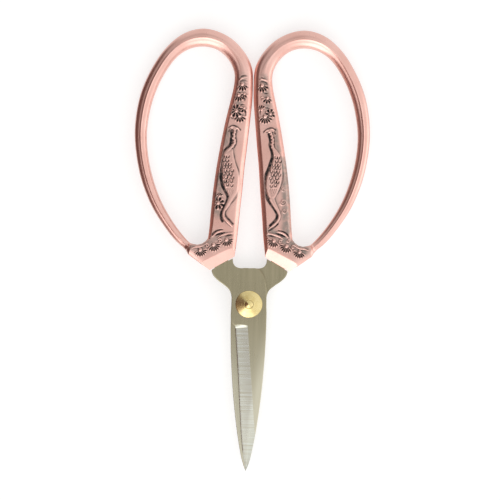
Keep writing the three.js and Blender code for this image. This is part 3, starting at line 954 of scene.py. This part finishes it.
def copper_material():
    """Satin copper plating: bright where handled, black patina down in the relief and a
    grey wash round it."""
    n = Nodes("antique_copper")
    blotch = n.noise(0.09, 4.0)
    grain = n.noise(2.2, 3.0)
    patina = n.attribute("patina")
    uneven = n.ramp(n.noise(0.9, 3.0), (0.3, 0.75), (0.7, 1.2))
    dark = n.math("MULTIPLY", patina, uneven, clamp=True)
    speckle = n.ramp(n.noise(0.7, 4.0), (0.35, 0.55), (0.6, 1.0))
    wash = n.math("MULTIPLY", n.attribute("wash"), speckle)
    colour = n.mix(n.ramp(blotch, (0.35, 0.0), (0.65, 1.0)), COPPER_BRIGHT, COPPER_DEEP)
    colour = n.mix(wash, colour, COPPER_GREY)
    colour = n.mix(dark, colour, PATINA)
    rough = n.math("ADD", n.ramp(grain, (0.3, 0.27), (0.7, 0.36)), n.math("MULTIPLY", dark, 0.4))
    n.set(Base_Color=colour, Roughness=rough, Specular_IOR_Level=0.2,
          Metallic=n.ramp(dark, (0.0, 1.0), (1.0, 0.35)))
    n.bump(n.math("ADD", n.noise(1.2, 4.0), n.math("MULTIPLY", grain, 0.4)), 0.012)
    return n.material


def steel_material():
    """Stainless steel brushed along the blade, ground across it on the bevel, and lighter in
    colour towards the tip and along the back."""
    n = Nodes("brushed_steel")
    ground = n.attribute("ground")
    worn = n.attribute("worn")
    brushed = n.noise(9.0, 3.0, (1, 0.015, 0), 0.6)
    broad = n.noise(0.8, 2.0, (1, 0.03, 0), 0.6)
    cross = n.noise(1.4, 3.0, (0.03, 1, 0), 0.6)
    body = n.math("ADD", n.math("MULTIPLY", brushed, 0.5), n.math("MULTIPLY", broad, 0.5))
    plain = n.mix(n.ramp(body, (0.38, 0.0), (0.62, 1.0)), STEEL, STEEL_DARK)
    plain = n.mix(n.math("MULTIPLY", worn, n.ramp(body, (0.35, 0.75), (0.65, 1.0))), plain, STEEL_LIGHTER)
    bevel = n.mix(n.ramp(cross, (0.35, 0.0), (0.65, 0.6)), STEEL_GROUND, STEEL)
    streaks = n.math("ADD", n.math("MULTIPLY", brushed, n.math("SUBTRACT", 1.0, ground)),
                     n.math("MULTIPLY", cross, ground))
    smudge = n.noise(0.06, 4.0)
    rough = n.math("ADD", n.ramp(smudge, (0.3, 0.2), (0.7, 0.27)),
                   n.math("MULTIPLY", streaks, 0.08))
    n.set(Base_Color=n.mix(ground, plain, bevel), Roughness=rough, Metallic=1.0)
    n.bump(streaks, 0.004)
    return n.material


def brass_material():
    """Turned brass, bright with faint tool rings and a little tarnish."""
    n = Nodes("turned_brass")
    tarnish = n.noise(0.5, 4.0)
    place = n.add("ShaderNodeTexCoord").outputs["Object"]
    parts = n.add("ShaderNodeSeparateXYZ", Vector=place)
    square = n.math("ADD", n.math("POWER", parts.outputs[0], 2.0),
                    n.math("POWER", parts.outputs[1], 2.0))
    turns = 2 * math.pi * BRASS_RINGS_PER_MM / MM
    rings = n.math("SINE", n.math("MULTIPLY", n.math("SQRT", square), turns))
    colour = n.mix(n.ramp(tarnish, (0.4, 0.0), (0.75, 1.0)), BRASS_LIGHT, BRASS_DEEP)
    n.set(Base_Color=colour, Roughness=n.ramp(tarnish, (0.3, 0.2), (0.7, 0.3)), Metallic=1.0)
    n.bump(rings, 0.003)
    return n.material


# ----------------------------------------
# Assembly
# ----------------------------------------


def fit(piece, material, body, node):
    """Puts a piece on its body, in place of its CAD node."""
    piece.data.materials.append(material)
    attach(piece, body)
    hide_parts(node)


copper, steel, brass = copper_material(), steel_material(), brass_material()
fit(build_handle("right_handle_cast", False), copper, "rear_half", "right_handle")
fit(build_handle("left_handle_cast", True), copper, "front_half", "left_handle")
fit(build_blade("rear_blade_ground", False), steel, "rear_half", "rear_blade")
fit(build_blade("front_blade_ground", True), steel, "front_half", "front_blade")
fit(build_washer("rear_washer_turned", False), brass, "rear_half", "rear_washer")
fit(build_washer("front_washer_turned", True), brass, "rear_half", "front_washer")
fit(build_rivet("pivot_rivet_turned"), brass, "rear_half", "pivot_rivet")


# ----------------------------------------
# Studio: floor, light and camera
# ----------------------------------------

FLOOR_SIZE = 4.0
FRAME_FILL = 0.88  # share of the picture's height that the snips take
CAMERA_DISTANCE = 1.1
CAMERA_ROLL = math.radians(1.15)
SENSOR = 36.0
OVERHEAD_SHADE = 0.54
WALL_WHITE = (1.0, 0.995, 0.98, 1)
WALL_DARK = (0.16, 0.085, 0.075, 1)
BACKDROP = 0.95
FLOOR_GLOW = 0.6  # the floor is a lit panel, so shadows on it stay faint
FLOOR_TONES = ((0.50, 0.50, 0.50, 1), (0.53, 0.53, 0.528, 1))


def build_floor():
    half = FLOOR_SIZE / 2
    corners = [(-half, -half, 0), (half, -half, 0), (half, half, 0), (-half, half, 0)]
    mesh = bpy.data.meshes.new("floor")
    mesh.from_pydata(corners, [], [(0, 1, 2, 3)])
    floor = bpy.data.objects.new("floor", mesh)
    bpy.context.scene.collection.objects.link(floor)
    n = Nodes("pale_floor")
    tone = n.ramp(n.noise(0.02, 2.0), (0.3, 0.0), (0.7, 1.0))
    n.set(Base_Color=n.mix(tone, *FLOOR_TONES), Roughness=0.9,
          Specular_IOR_Level=0.1, Emission_Color=(1, 1, 1, 1), Emission_Strength=FLOOR_GLOW)
    mesh.materials.append(n.material)
    floor.visible_glossy = False  # the metal reflects the tent all the way down


def build_light():
    """A light tent: pale walls, a lamp towards the tips, a brighter right side, a dark wall
    on the left that runs on below the horizon, and a dimmer patch overhead. The camera sees
    a plain pale backdrop."""
    world = bpy.data.worlds.new("tent")
    bpy.context.scene.world = world
    n = Nodes("tent", world)
    direction = n.add("ShaderNodeTexCoord").outputs["Generated"]

    def patch(x, y, z, outer, inner):
        """A number that goes from one value to another towards a direction, each stop being
        the cosine of the angle off that direction and the value there."""
        length = math.sqrt(x * x + y * y + z * z)
        node = n.add("ShaderNodeVectorMath", {"operation": "DOT_PRODUCT"})
        n.feed(node.inputs[0], direction)
        node.inputs[1].default_value = (x / length, y / length, z / length)
        return n.ramp(node.outputs["Value"], outer, inner)

    bright = patch(0.7, -1.0, 0.0, (-1.0, 0.78), (1.0, 1.05))
    for lamp in (patch(-0.45, -0.9, 0.85, (0.75, 0.0), (0.95, 1.2)),
                 patch(1.0, -0.1, 0.1, (0.88, 0.0), (0.99, 0.8))):
        bright = n.math("ADD", bright, lamp)
    bright = n.math("MULTIPLY", bright, patch(-0.12, 0.3, 1.0, (0.88, 1.0), (0.985, OVERHEAD_SHADE)))
    dark = patch(-1.0, 0.0, 0.26, (0.6, 0.0), (0.745, 1.0))
    wall = n.mix(dark, WALL_WHITE, WALL_DARK)
    seen = n.add("ShaderNodeLightPath").outputs["Is Camera Ray"]
    shown = n.math("ADD", n.math("MULTIPLY", bright, n.math("SUBTRACT", 1.0, seen)),
                   n.math("MULTIPLY", seen, BACKDROP))
    n.set(Color=n.mix(seen, wall, WALL_WHITE), Strength=shown)


def build_camera():
    low, high = CAD_BOUNDS
    data = bpy.data.cameras.new("camera")
    camera = bpy.data.objects.new("camera", data)
    bpy.context.scene.collection.objects.link(camera)
    middle = (low + high) / 2
    camera.location = (middle.x, middle.y, CAMERA_DISTANCE)
    camera.rotation_euler = (0, 0, CAMERA_ROLL)
    data.sensor_width = SENSOR
    data.lens = SENSOR * FRAME_FILL * CAMERA_DISTANCE / (high.y - low.y)
    bpy.context.scene.camera = camera


build_floor()
build_light()
build_camera()
bpy.context.scene.view_settings.view_transform = "Standard"
